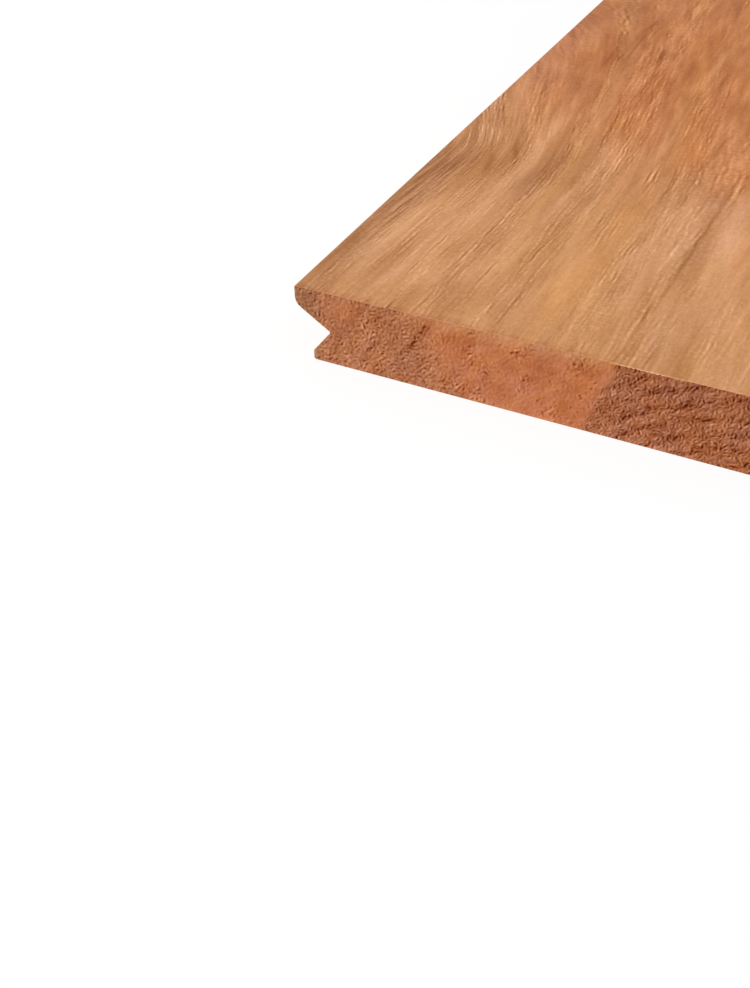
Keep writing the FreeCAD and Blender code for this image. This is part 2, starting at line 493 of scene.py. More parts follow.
# %% Put it all into one mesh
SHARP_FROM = 32
mesh = bpy.data.meshes.new("board_surface")
mesh.vertices.add(len(points))
mesh.vertices.foreach_set("co", (points * MM).ravel())
mesh.loops.add(faces.size)
mesh.loops.foreach_set("vertex_index", faces.ravel())
mesh.polygons.add(len(faces))
mesh.polygons.foreach_set("loop_start", np.arange(0, faces.size, 3))
mesh.update(calc_edges=True)

no_end = np.zeros(starts[last] - len(front))
for name in front_wood:
    values = np.concatenate([front_wood[name].ravel(), no_end, back_wood[name].ravel()])
    mesh.attributes.new(name, "FLOAT", "POINT").data.foreach_set("value", values)
mesh.uv_layers.new(name="OFBake").data.foreach_set("uv", uv.ravel())

is_end = np.zeros(len(faces), np.int32)
is_end[len(long_faces):] = 1
mesh.polygons.foreach_set("material_index", is_end)
mesh.shade_smooth()
mesh.set_sharp_from_angle(angle=math.radians(SHARP_FROM))
mesh.validate()
board = bpy.data.objects.new("grooved_board", mesh)
bpy.context.scene.collection.objects.link(board)
print(f"{board.name}: {len(mesh.vertices)} points, {len(mesh.polygons)} triangles")

# %% [markdown]
# ## Helpers for the finish
#
# A finish is a graph of small sums. Written out one node at a time it is long and hard to read, so a
# few helpers do the writing: one adds any node and fills its inputs, and the others add a sum, a
# product or a ramp from one range to another. Each returns the socket to use next.


# %% Adding nodes
def fill_inputs(tree, node, inputs):
    """Links or sets a node's inputs, given by name or number."""
    for key, value in inputs.items():
        if isinstance(value, bpy.types.NodeSocket):
            tree.links.new(value, node.inputs[key])
        else:
            node.inputs[key].default_value = value


def add_node(tree, kind, inputs=None, **settings):
    """Adds a shader node, sets its properties and fills its inputs."""
    node = tree.nodes.new(f"ShaderNode{kind}")
    for name, value in settings.items():
        setattr(node, name, value)
    fill_inputs(tree, node, inputs or {})
    return node


def new_group(name, inputs, outputs):
    """A shader node group with named inputs (name, kind, start value) and outputs (name, kind)."""
    group = bpy.data.node_groups.new(name, "ShaderNodeTree")
    for label, kind, value in inputs:
        socket = group.interface.new_socket(name=label, in_out="INPUT", socket_type=f"NodeSocket{kind}")
        if value is not None:
            socket.default_value = value
    for label, kind in outputs:
        group.interface.new_socket(name=label, in_out="OUTPUT", socket_type=f"NodeSocket{kind}")
    return group, group.nodes.new("NodeGroupInput").outputs, group.nodes.new("NodeGroupOutput")


def use_group(tree, group, inputs):
    """Places a group in a tree and returns its outputs."""
    return add_node(tree, "Group", inputs, node_tree=group).outputs


def new_finish(name):
    """A material, its tree and its shader."""
    finish = bpy.data.materials.new(name)
    finish.use_nodes = True
    return finish, finish.node_tree, finish.node_tree.nodes["Principled BSDF"]


# %% Sums, vectors and colours
def calc(tree, operation, *values):
    """One step of arithmetic."""
    return add_node(tree, "Math", dict(enumerate(values)), operation=operation).outputs[0]


def plus(tree, first, *others):
    """The sum of two or more values."""
    for value in others:
        first = calc(tree, "ADD", first, value)
    return first


def minus(tree, first, second):
    """The first value less the second."""
    return calc(tree, "SUBTRACT", first, second)


def times(tree, first, *others):
    """The product of two or more values."""
    for value in others:
        first = calc(tree, "MULTIPLY", first, value)
    return first


def over(tree, first, second):
    """The first value divided by the second."""
    return calc(tree, "DIVIDE", first, second)


def times_plus(tree, first, second, rest):
    """first * second + rest"""
    return calc(tree, "MULTIPLY_ADD", first, second, rest)


def sum_of_squares(tree, first, second):
    """first * first + second * second"""
    return plus(tree, times(tree, first, first), times(tree, second, second))


def ramp(tree, value, start, end, to_start=0.0, to_end=1.0, smooth=True):
    """Moves a value from one range to another and holds it at the ends."""
    kind = "SMOOTHSTEP" if smooth else "LINEAR"
    inputs = {"Value": value, "From Min": start, "From Max": end, "To Min": to_start, "To Max": to_end}
    return add_node(tree, "MapRange", inputs, interpolation_type=kind).outputs["Result"]


def parts_of(tree, point):
    """A point's x, y and z."""
    return add_node(tree, "SeparateXYZ", {0: point}).outputs


def vector(tree, *parts):
    """Up to three values as one vector."""
    return add_node(tree, "CombineXYZ", dict(enumerate(parts))).outputs[0]


def vector_calc(tree, operation, first, second):
    """One step of arithmetic on each part of a vector or a colour."""
    return add_node(tree, "VectorMath", {0: first, 1: second}, operation=operation).outputs[0]


def blend(tree, amount, first, second):
    """A colour between two, by an amount from zero to one."""
    return add_node(tree, "Mix", {0: amount, 6: first, 7: second}, data_type="RGBA").outputs[2]


def srgb(red, green, blue):
    """A colour as it looks on a screen, 0 to 255, as the linear value that a shader needs."""
    share = np.array([red, green, blue]) / 255
    linear = np.where(share <= 0.04045, share / 12.92, ((share + 0.055) / 1.055) ** 2.4)
    return (*linear.tolist(), 1.0)


print("helpers ready")

# %% [markdown]
# ## The grain's course
#
# Fibres run along the board, but not quite straight. A branch once grew just outside the left edge,
# and the fibres bend round it: gently on the near side and steeply on the far side, where the whole
# left half then drifts outwards for a while. They also lean slightly, sway slowly and waver finely. A
# real bend moves the wood, so the texture is moved, not painted: the group takes a point and gives
# back where that wood would be in a straight-grained log, as a distance from the heart, a place along
# the log and a place round it, and also as plain millimetres. Both finishes measure with it.

# %% Grain course group
ROUND_AT = 100.0
SWAY_SIZES = (60.0, 260.0, 60.0)
SWAY_PLACE = (3.1, 7.7, 1.3)
WAVER_SIZES = (6.0, 5.0, 6.0)

group, given, result = new_group(
    "grain_course",
    [
        ("Point", "Vector", None),
        ("Knot Y", "Float", FRONT_Y + 102.0),
        ("Push", "Float", 8.2),
        ("Reach", "Float", 29.0),
        ("Near Length", "Float", 60.0),
        ("Far Length", "Float", 30.0),
        ("Drift", "Float", 0.22),
        ("Drift Reach", "Float", 45.0),
        ("Lean", "Float", 0.02),
        ("Right Lean", "Float", 0.05),
        ("Sway", "Float", 0.9),
        ("Waver", "Float", 0.3),
    ],
    [("Grain", "Vector"), ("Fibre", "Vector")],
)
axes = parts_of(group, given["Point"])
from_edge = calc(group, "MAXIMUM", plus(group, axes[0], HALF_WIDTH), 0.0)
along = minus(group, axes[1], given["Knot Y"])
from_end = minus(group, axes[1], FRONT_Y)


def fading(distance, reach):
    """exp(-distance / reach)"""
    return calc(group, "EXPONENT", over(group, times(group, distance, -1.0), reach))


def soft_noise(sizes, place=(0.0, 0.0, 0.0)):
    """Noise about zero that changes over these sizes, in millimetres along x, y and z."""
    inputs = {"Vector": given["Point"], "Scale": [1 / size for size in sizes], "Location": place}
    laid = add_node(group, "Mapping", inputs).outputs[0]
    noise = add_node(group, "TexNoise", {"Vector": laid, "Scale": 1.0, "Detail": 1.0}).outputs[0]
    return times(group, minus(group, noise, 0.5), 2.0)


# %% The bend round the branch, and the drift past it
near = over(group, calc(group, "MINIMUM", along, 0.0), given["Near Length"])
far = over(group, calc(group, "MAXIMUM", along, 0.0), given["Far Length"])
bulge = times(
    group,
    fading(from_edge, given["Reach"]),
    fading(sum_of_squares(group, near, far), 1.0),
    given["Push"],
)
# The drift grows past the branch for about 200 mm and then comes back more slowly, because a drift
# that kept growing would in the end fold the pattern over itself
past_start = calc(group, "SMOOTH_MAX", minus(group, along, 4.0), 0.0, 14.0)
coming_back = times_plus(group, past_start, -0.3, 260.0)
drift_length = calc(group, "MAXIMUM", calc(group, "SMOOTH_MIN", past_start, coming_back, 60.0), 0.0)
drift = times(group, drift_length, fading(from_edge, given["Drift Reach"]), given["Drift"])

# %% The lean, and where the wood would be in a straight log
leaning_part = calc(group, "SMOOTH_MIN", from_end, 120.0, 60.0)
right_lean = times(group, leaning_part, ramp(group, axes[0], 5.0, 25.0), given["Right Lean"])
lean = times_plus(group, from_end, given["Lean"], right_lean)
sway = times(group, soft_noise(SWAY_SIZES, SWAY_PLACE), given["Sway"])
waver = times(group, soft_noise(WAVER_SIZES), given["Waver"])
moved = plus(group, minus(group, axes[0], bulge), drift, sway, waver)
moved = minus(group, moved, lean)
heart_x = minus(group, moved, HEART_X)
heart_z = minus(group, axes[2], HEART_Z)
radius = calc(group, "SQRT", sum_of_squares(group, heart_x, heart_z))
around = times(group, calc(group, "ARCTAN2", heart_x, heart_z), ROUND_AT)
grain = vector(group, radius, axes[1], around)
fibre = vector(group, moved, axes[1], axes[2])
fill_inputs(group, result, {"Grain": grain, "Fibre": fibre})
grain_course = group
print(f"{grain_course.name}: {len(grain_course.nodes)} nodes")

# %% [markdown]
# ## Streaks
#
# Wood shows the same pattern at several sizes: broad bands a few rings wide, medium streaks, and fine
# lines where single vessels were cut open. Each is one noise, drawn out along the grain, and only its
# size in millimetres changes. So one group makes them all. It gives a swing about zero, which says
# how much lighter or darker the wood is, and a mask of the places where the noise is high.

# %% Streaks group
NOISE_SWING = 0.13

group, given, result = new_group(
    "streaks",
    [
        ("Grain", "Vector", None),
        ("Across", "Float", 5.0),
        ("Along", "Float", 100.0),
        ("Round", "Float", 15.0),
        ("Detail", "Float", 1.0),
        ("Shift", "Float", 0.0),
        ("Mask Start", "Float", 0.45),
        ("Mask End", "Float", 0.62),
    ],
    [("Swing", "Float"), ("Mask", "Float")],
)
size = vector(group, given["Across"], given["Along"], given["Round"])
placed = vector_calc(group, "ADD", vector_calc(group, "DIVIDE", given["Grain"], size), given["Shift"])
value = add_node(
    group, "TexNoise", {"Vector": placed, "Scale": 1.0, "Detail": given["Detail"], "Roughness": 0.55}
).outputs[0]
swing = over(group, minus(group, value, 0.5), NOISE_SWING)
mask = ramp(group, value, given["Mask Start"], given["Mask End"])
fill_inputs(group, result, {"Swing": swing, "Mask": mask})
streaks = group
print(f"{streaks.name}: {len(streaks.nodes)} nodes")

# %% [markdown]
# ## Vessel lines
#
# Where the planer cuts a vessel open along its length it leaves a short straight groove, with a light lip
# beside a dark bottom. The light and dark lines are partly the vessels' own colour, and partly painted
# light on the lip and painted shade in the groove. Noise alone makes wavy smears. A Gabor texture whose
# packets nearly all point the same way makes what is wanted: a few straight lines side by side, a fixed
# distance apart, that fade in and out together. Squeezing the place along the board makes each packet long.

# %% Vessel lines group
PACKET_WAVES = 1.6
PACKET_SWING = 0.2
# The lines are set out across the faces and also up the edges
ACROSS_X = 0.87
ACROSS_Z = 0.5


def packet_swing(tree, inputs):
    """A Gabor texture as a swing about zero."""
    packets = add_node(tree, "TexGabor", inputs).outputs["Value"]
    return over(tree, minus(tree, packets, 0.5), PACKET_SWING)


group, given, result = new_group(
    "vessel_lines",
    [("Fibre", "Vector", None), ("Pitch", "Float", 1.2), ("Length", "Float", 4.5), ("Shift", "Float", 0.0)],
    [("Swing", "Float")],
)
axes = parts_of(group, given["Fibre"])
across = times_plus(group, axes[0], ACROSS_X, times(group, axes[2], ACROSS_Z))
across = plus(group, over(group, across, given["Pitch"]), given["Shift"])
swing = packet_swing(group, {
    "Vector": vector(group, across, over(group, axes[1], given["Length"])),
    "Scale": 1 / PACKET_WAVES,
    "Frequency": PACKET_WAVES,
    "Anisotropy": 0.8,
    "Orientation": 0.0,
})
fill_inputs(group, result, {"Swing": swing})
vessel_lines = group
print(f"{vessel_lines.name}: {len(vessel_lines.nodes)} nodes")

# %% [markdown]
# ## The finest fibres
#
# The mesh carries the torn ridges down to about a millimetre, and a texture takes over there, as bump and
# as colour that lightens the ridges and darkens the grooves as painted light and shade. A Gabor texture is
# a sum of short wave packets, all of one wavelength. Its packets may point every way, or follow one
# direction. Torn fibres do something between: neighbouring ridges run side by side for a few millimetres,
# then turn. So the direction follows a slow noise about the slant of the fibres.

# %% Torn maze group
SHORT_PACKET = 1.25

group, given, result = new_group(
    "torn_maze",
    [
        ("Point", "Vector", None),
        ("Pitch", "Float", 1.25),
        ("Slant", "Float", -0.6),
        ("Turn", "Float", 3.0),
        ("Turn Size", "Float", 2.2),
        ("Order", "Float", 0.55),
    ],
    [("Swing", "Float")],
)
axes = parts_of(group, given["Point"])
flat = vector(group, axes[0], axes[2])
slow_inputs = {"Vector": flat, "Scale": over(group, 1.0, given["Turn Size"]), "Detail": 0.0}
slow = add_node(group, "TexNoise", slow_inputs).outputs[0]
swing = packet_swing(group, {
    "Vector": flat,
    "Scale": over(group, 1 / SHORT_PACKET, given["Pitch"]),
    "Frequency": SHORT_PACKET,
    "Anisotropy": given["Order"],
    "Orientation": times_plus(group, minus(group, slow, 0.5), given["Turn"], given["Slant"]),
})
fill_inputs(group, result, {"Swing": swing})
torn_maze = group
print(f"{torn_maze.name}: {len(torn_maze.nodes)} nodes")

# %% [markdown]
# ## Lighter and darker
#
# On a photograph of wood the light and dark lines differ by about the same amount in red, green and
# blue. Multiplying a colour would change its red most. So one group turns the colour into the values
# that a screen shows, adds a number of levels out of 255, and turns it back. A second number makes
# the wood cooler and pinker, or warmer and more golden, without making it lighter.

# %% Tonal shift group
SCREEN_GAMMA = 2.2
FULL_LEVEL = 255.0
COOLER = (-0.6, -0.1, 0.8)
DARKEST = (0.02, 0.02, 0.02)

group, given, result = new_group(
    "tonal_shift",
    [("Colour", "Color", None), ("Levels", "Float", 0.0), ("Cool Levels", "Float", 0.0)],
    [("Colour", "Color")],
)
shown = add_node(group, "Gamma", {"Color": given["Colour"], "Gamma": 1 / SCREEN_GAMMA}).outputs[0]
lighter = vector_calc(group, "ADD", shown, over(group, given["Levels"], FULL_LEVEL))
cooler = vector_calc(group, "MULTIPLY", COOLER, over(group, given["Cool Levels"], FULL_LEVEL))
shown = vector_calc(group, "MAXIMUM", vector_calc(group, "ADD", lighter, cooler), DARKEST)
colour = add_node(group, "Gamma", {"Color": shown, "Gamma": SCREEN_GAMMA}).outputs[0]
fill_inputs(group, result, {"Colour": colour})
tonal_shift = group
print(f"{tonal_shift.name}: {len(tonal_shift.nodes)} nodes")

# %% [markdown]
# ## Single figures
#
# Some marks on the walking face can be told apart by eye: the dark wood beside the branch, a pale
# stripe, a thin dark line. Each is a long soft spindle that leans with the grain. One group draws a
# spindle from its place, its size and its lean, and a short list places them all, measured from the
# left edge and from the sawn end.

# %% Spindle group
group, given, result = new_group(
    "spindle",
    [
        ("Point", "Vector", None),
        ("From Left", "Float", 0.0),
        ("From End", "Float", 0.0),
        ("Half Width", "Float", 3.0),
        ("Half Length", "Float", 40.0),
        ("Lean", "Float", 0.0),
    ],
    [("Mask", "Float")],
)
axes = parts_of(group, given["Point"])
away_y = minus(group, minus(group, axes[1], FRONT_Y), given["From End"])
middle_x = times_plus(group, away_y, given["Lean"], given["From Left"])
away_x = minus(group, plus(group, axes[0], HALF_WIDTH), middle_x)
far_off = sum_of_squares(
    group, over(group, away_x, given["Half Width"]), over(group, away_y, given["Half Length"])
)
fill_inputs(group, result, {"Mask": calc(group, "EXPONENT", times(group, far_off, -1.0))})
spindle = group
print(f"{spindle.name}: {len(spindle.nodes)} nodes")

# %% What can be told apart by eye
# From the left edge, from the sawn end, half width, half length, lean, levels, cool levels
FIGURES = {
    "dark left edge": (3, 48, 6, 58, 0, -18, 8),
    "dark wood beside the branch": (5, 90, 8.5, 14, 0.05, -18, 3),
    "red wood at the edge": (3, 107, 5, 13, 0, -16, 0),
    "light wood past the branch": (4, 176, 11, 56, -0.02, 7, 2),
    "grey wood at the far left": (4, 245, 15, 70, 0, 0, 6),
    "pale wood inside the bend": (25, 146, 5.5, 18, -0.2, 5, 1),
    "pale stripe": (28.2, 118, 2.7, 36, -0.03, 23, 0),
    "brown patch": (36, 103, 7, 22, 0, -15, 3),
    "brown wood by the stripe": (33, 84, 4, 9, 0, -2, 3),
    "brown wood left of the stripe": (19, 97, 8.5, 20, 0, -19, 0),
    "light orange wood": (53, 119, 5.5, 28, -0.08, 14, -4),
    "light wood inside the bend": (13, 143, 8, 12, -0.15, -2, -4),
    "brown streak by the branch": (22.3, 109, 1.1, 9, -0.26, -30, -2),
    "short brown streak": (18.2, 95, 1.1, 6, -0.1, -23, 0),
    "brown streak inside the bend": (19.6, 124, 1.1, 8, -0.3, -18, 0),
    "red patch": (65, 99, 4.5, 11, 0, -8, 0),
    "pink patch": (88, 96, 3.5, 10, 0, -3, 7),
    "thin dark line": (88.8, 62, 0.8, 32, 0.06, -27, 3),
    "pale band": (95.5, 86, 4.8, 30, -0.03, 23, 6),
    "pale wood on the right": (83, 150, 9, 22, -0.1, 12, 1),
    "light wood at the right side": (105, 34, 6, 40, -0.1, 7, 0),
    "pink wood by the end": (92, 12, 4, 14, 0, -6, 7),
    "pale wood behind the line": (25, 38, 4.6, 32, 0.03, 11, 2),
    "brown wood by the left line": (17, 33, 2.6, 16, 0.05, -9, 0),
    "orange wood in the middle": (66.5, 64, 7, 28, 0, -4, -7),
    "warm wood on the right": (83, 56, 6, 30, 0, 8, 0),
    "light wood on the right": (84, 88, 5, 28, -0.05, 12, 4),
    "light wood by the left line": (11.8, 44, 2.8, 20, 0.05, 13, 2),
    "light wood between the lines": (44.5, 48, 4.5, 18, 0, 8, 1),
    "brown wood behind the long line": (36, 44, 3.4, 26, 0.03, -9, 0),
    "orange wood by the brown patch": (45, 92, 4.2, 16, 0, -10, -3),
    "light wood far right": (65, 192, 6, 15, -0.08, 9, 0),
    "brown wood far in the middle": (61, 213, 6.5, 32, -0.1, -10, -3),
    "light wood by the dark line": (51, 254, 5, 16, -0.05, 9, 0),
    "light wood far left": (42, 185, 6, 24, -0.12, 8, 2),
    "dark wood far left": (28, 215, 7, 46, -0.1, -13, 4),
    "dark line": (30.8, 236, 0.6, 18, -0.02, -25, 0),
    "hooked end of the dark line": (29.7, 260, 0.9, 9, 0.07, -18, 0),
    "dark streak": (24.6, 216, 0.9, 18, -0.05, -17, 0),
    "second dark streak": (42.8, 224, 0.6, 12, -0.12, -16, 0),
    "brown wood by the middle line": (47.5, 30, 2.6, 16, 0, -9, 0),
    "light wood beside the far left line": (13, 192, 4, 18, -0.1, 7, 0),
    "light wood far in the middle": (47, 226, 4.5, 17, -0.1, 13, 0),
    "light wood at the far left": (10, 232, 5, 13, -0.1, 15, 0),
    "greyer wood along the left edge": (3, 214, 9, 50, 0, 6, 3),
    "light wood far left of the middle": (24, 190, 4, 12, -0.1, 9, 1),
    "light wood at the far edge of the picture": (35, 292, 4, 9, -0.1, 7, 0),
    "brown wood at the far left": (18, 282, 8, 20, -0.1, -13, 3),
    "brown wood in the middle": (44, 120, 4, 26, 0, -7, 0),
    "light wood by the golden patch": (75, 8, 4, 12, 0, 5, 0),
    "golden patch": (65, 24, 7.5, 22, 0, 3, -5),
    "pink wood in the middle": (57, 130, 9, 20, -0.1, 0, 4),
}
# The same places and sizes, then the strength of the lines
VESSEL_LINES = {
    "edge lines": (6.8, 58, 3.2, 34, 0.06, 0.8),
    "left line": (17.8, 60, 2.4, 46, 0.09, 0.9),
    "long line": (35.2, 52, 1.9, 62, 0.04, 1),
    "short line": (42.6, 26, 0.9, 22, 0.02, 0.8),
    "middle line": (49.8, 62, 1.3, 60, 0.015, 0.9),
    "second middle line": (54.4, 25, 1, 34, 0.03, 0.9),
    "short lines": (63.2, 68, 3.4, 12, -0.03, 0.8),
    "red lines": (67.5, 104, 2.2, 11, 0, 0.8),
    "right lines": (74.6, 100, 2.4, 22, -0.02, 0.9),
    "right dashes": (77, 84, 2.4, 12, -0.03, 0.8),
    "faint line": (75.6, 26, 0.8, 12, 0, 0.6),
    "lines near the end": (86.5, 10, 5, 18, 0, 0.7),
    "lines at the right side": (103, 20, 4, 24, 0, 0.4),
    "fan of light lines": (8, 126, 6, 18, -0.34, 0.9),
    "far left line": (16.5, 148, 3, 26, -0.2, 0.9),
    "far middle lines": (51.5, 168, 4.5, 36, -0.11, 0.9),
    "far right lines": (69, 178, 4, 40, -0.06, 0.9),
}


def place_spindle(tree, point, place):
    """The mask of one spindle, from the places and sizes in its list."""
    labels = ("From Left", "From End", "Half Width", "Half Length", "Lean")
    return use_group(tree, spindle, {"Point": point, **dict(zip(labels, place))})["Mask"]


print(f"{len(FIGURES)} figures and {len(VESSEL_LINES)} rows of vessel lines")

# %% [markdown]
# ## Planed long grain
#
# The faces were planed and oiled once. The wood is golden tan near the sawn end and orange brown further
# in, with fine light and dark lines where the knives opened vessels. The lines come in rows with calmer
# wood between them, and small flecks break them up. They are also tiny grooves, so the same values drive
# the bump, and the oil lies a little glossier between them; their light and dark are partly the vessels'
# own colour and partly painted light and shade of those grooves. Close to the saw cut the surface is
# darker, and its fibres are frayed.


# %% The board's point and its streaks
def board_point(tree):
    """Where a point is on the board, in millimetres."""
    place = add_node(tree, "TexCoord").outputs["Object"]
    return add_node(tree, "Mapping", {"Vector": place, "Scale": (1 / MM,) * 3}).outputs[0]


def wood_streaks(tree, grain, size, shift=0.0, detail=1.0, mask=(0.45, 0.62)):
    """One size of streaks: millimetres across, along and round the log, and where its mask lies."""
    inputs = {"Grain": grain, "Shift": shift, "Detail": detail}
    inputs.update(zip(("Across", "Along", "Round"), size))
    inputs.update(zip(("Mask Start", "Mask End"), mask))
    return use_group(tree, streaks, inputs)


planed, tree, shader = new_finish("planed_hardwood")
point = board_point(tree)
course = use_group(tree, grain_course, {"Point": point})
grain, fibre = course["Grain"], course["Fibre"]
patches = wood_streaks(tree, grain, (6.0, 38.0, 8.0))["Swing"]
broad = wood_streaks(tree, grain, (5.0, 280.0, 16.0), 5.3)["Swing"]
mottle = wood_streaks(tree, grain, (2.6, 20.0, 4.0), 1.9)["Swing"]
medium = wood_streaks(tree, grain, (1.4, 24.0, 2.2), 3.7)["Swing"]
flecks = wood_streaks(tree, grain, (1.2, 1.9, 1.8), 8.3)["Swing"]
fine = wood_streaks(tree, grain, (0.65, 14.0, 0.8), 9.1, 1.5)["Swing"]
pores = wood_streaks(tree, grain, (0.6, 0.9, 0.6), 4.3, 0.5)["Swing"]
tints = wood_streaks(tree, grain, (9.0, 40.0, 8.0), 2.2)["Swing"]
dashes = wood_streaks(tree, grain, (1.8, 20.0, 2.0), 6.1, mask=(0.4, 0.55))["Mask"]
rows = wood_streaks(tree, grain, (3.6, 240.0, 9.0), 7.9, mask=(0.48, 0.62))["Mask"]
lines = use_group(tree, vessel_lines, {"Fibre": fibre, "Pitch": 1.4, "Length": 12.0})["Swing"]
short_lines = use_group(tree, vessel_lines, {"Fibre": fibre, "Shift": 31.0})["Swing"]

# %% Where the vessel lines lie, and how strong they are
# Line levels is how much a whole swing lightens or darkens, in levels of 255
LINE_LEVELS = 12.0
EDGE_STREAKS = (5.5, 78.0, 6.5, 42.0, 0.03)

axes = parts_of(tree, point)
from_end = minus(tree, axes[1], FRONT_Y)
scattered = times(tree, rows, ramp(tree, from_end, 85.0, 130.0, 0.6, 1.0))
placed = 0.0
for *place, strength in VESSEL_LINES.values():
    row = times(tree, place_spindle(tree, point, place), strength)
    placed = calc(tree, "MAXIMUM", placed, row)
rowed = calc(tree, "MAXIMUM", scattered, placed)

# Long lines where rows are placed, and short broken ones where they are scattered, each weaker where
# a fleck crosses it and further in
broken = calc(tree, "MAXIMUM", times(tree, scattered, dashes), times(tree, placed, 0.6))
weaker = ramp(tree, from_end, 90.0, 180.0, 1.0, 0.55)
cut = times(tree, ramp(tree, flecks, -1.2, 1.2, 0.45, 1.25), weaker)
levels = 0.0
# The vessel lines' light and dark are partly their own colour and partly painted light and shade of their
# grooves
for swing, where in ((lines, placed), (short_lines, broken)):
    crisp = times_plus(tree, calc(tree, "ABSOLUTE", swing), LINE_LEVELS, LINE_LEVELS)
    levels = times_plus(tree, times(tree, swing, crisp, cut), where, levels)
at_edge = place_spindle(tree, point, EDGE_STREAKS)
for swing, reach in ((medium, 9.0), (fine, 5.0)):
    levels = times_plus(tree, times(tree, swing, at_edge), reach, levels)

# %% How far each size of streak swings
# In levels of 255: in calm wood, in a row of vessels, and how many times as much further in
SWINGS = (
    (short_lines, 1.2, 2.0, 1.7),
    (pores, 2.5, 5.2, 0.65),
    (fine, 1.3, 3.2, 1.5),
    (flecks, 2.4, 4.0, 1.1),
    (medium, 3.2, 5.2, 1.75),
    (mottle, 3.4, 4.0, 1.1),
)
for swing, calm, busy, far in SWINGS:
    reach = ramp(tree, rowed, 0.0, 1.0, calm, busy, smooth=False)
    reach = times(tree, reach, ramp(tree, from_end, 70.0, 150.0, 1.0, far))
    levels = times_plus(tree, swing, reach, levels)
grooves = levels
for swing, reach in ((broad, 3.0), (patches, 4.0)):
    levels = times_plus(tree, swing, reach, levels)
levels = plus(tree, levels, ramp(tree, from_end, 26.0, 2.0, 0.0, -5.0))

# The figures belong to the walking face and fade out down the edges
on_top = ramp(tree, axes[2], THICKNESS - 6.0, THICKNESS - 1.0)
cool = times(tree, tints, 1.6)
for *place, lighter, cooler in FIGURES.values():
    mask = times(tree, place_spindle(tree, point, place), on_top)
    levels = times_plus(tree, mask, lighter, levels)
    cool = times_plus(tree, mask, cooler, cool)

# %% Colour, bump and gloss of the planed faces
NEAR_TAN = srgb(204, 145, 97)
INNER_ORANGE = srgb(196, 122, 69)
BAND_TAN = srgb(206, 145, 88)
FRAYED_BROWN = srgb(184, 120, 80)
GROOVE_DEPTH = 0.000004

wandering = times_plus(tree, axes[0], 0.7, times_plus(tree, patches, 8.0, from_end))
colour = blend(tree, ramp(tree, wandering, 54.0, 158.0), NEAR_TAN, INNER_ORANGE)
colour = blend(tree, ramp(tree, broad, 0.3, 1.6, 0.0, 0.3), colour, BAND_TAN)
fraying = times_plus(tree, medium, 0.5, times_plus(tree, fine, 0.6, from_end))
on_left = ramp(tree, axes[0], 4.0, 10.0, 0.9, 0.0)
frayed = times(tree, ramp(tree, fraying, 2.4, 0.4, 0.0, 0.55), on_left)
colour = blend(tree, frayed, colour, FRAYED_BROWN)
shifted = use_group(tree, tonal_shift, {"Colour": colour, "Levels": levels, "Cool Levels": cool})
bump = add_node(tree, "Bump", {"Height": grooves, "Strength": 0.4, "Distance": GROOVE_DEPTH})
fill_inputs(tree, shader, {
    "Base Color": shifted["Colour"],
    "Roughness": ramp(tree, medium, -1.5, 1.5, 0.52, 0.64),
    "Normal": bump.outputs[0],
    "Specular IOR Level": 0.14,
})
print(f"{planed.name}: {len(tree.nodes)} nodes")

# %% [markdown]
# ## Raw end grain
#
# The ends drink more oil and show the wood from the cut side, so they are redder than the faces. The mesh
# already says how light or dark each torn fibre is, partly from the rings' own colour and partly as painted
# shade in its low places and painted light on its ridges, so the finish chooses the ground colour: browner
# at the upper lip's tip, a plain orange in the denser band, and dark on the right, where the vessels are
# widest. Along the top the saw has polished the middle to a tan, and on the right a painted highlight lies
# along the sharp top edge, above a darker strip.

# %% What the end is made of at a point
END_ALONG = 300.0

sawn, tree, shader = new_finish("sawn_end_grain")
point = board_point(tree)
grain = use_group(tree, grain_course, {"Point": point})["Grain"]
axes = parts_of(tree, point)
height = axes[2]
from_left = plus(tree, axes[0], HALF_WIDTH)
# The levels attribute from the mesh: the rings' own colour and painted shade in the torn surface's low
# places
coarse, left, right, torn_tone_and_shade = (
    add_node(tree, "Attribute", attribute_name=name).outputs["Fac"]
    for name in ("coarse", "left", "right", "levels")
)
not_left, not_right = (minus(tree, 1.0, side_share) for side_share in (left, right))
cloud = wood_streaks(tree, grain, (5.0, END_ALONG, 12.0))["Swing"]
blotch = wood_streaks(tree, grain, (2.4, END_ALONG, 4.0), 4.4)["Swing"]
tint = wood_streaks(tree, grain, (4.0, END_ALONG, 7.0), 8.7)["Swing"]
slant = ramp(tree, left, 0.0, 1.0, -0.28, -0.6)
pitch = ramp(tree, right, 0.0, 1.0, 1.2, 1.0)
maze = use_group(tree, torn_maze, {"Point": point, "Slant": slant, "Pitch": pitch})["Swing"]
ridges = times(tree, maze, coarse)

# %% The ground colours
DENSE_ORANGE = srgb(187, 113, 72)
LEFT_BROWN = srgb(172, 109, 73)
RIGHT_BROWN = srgb(157, 93, 59)
TIP_BROWN = srgb(160, 107, 73)
POLISHED_TAN = srgb(198, 136, 92)

colour = blend(tree, left, DENSE_ORANGE, LEFT_BROWN)
colour = blend(tree, right, colour, RIGHT_BROWN)
colour = blend(tree, ramp(tree, from_left, 9.0, 5.0, 0.0, 0.8), colour, TIP_BROWN)
polished = ramp(tree, height, THICKNESS - 4.0, THICKNESS - 0.2, 0.0, 0.85)
polished = times(tree, polished, ramp(tree, from_left, 15.0, 62.0), not_right)
colour = blend(tree, polished, colour, POLISHED_TAN)

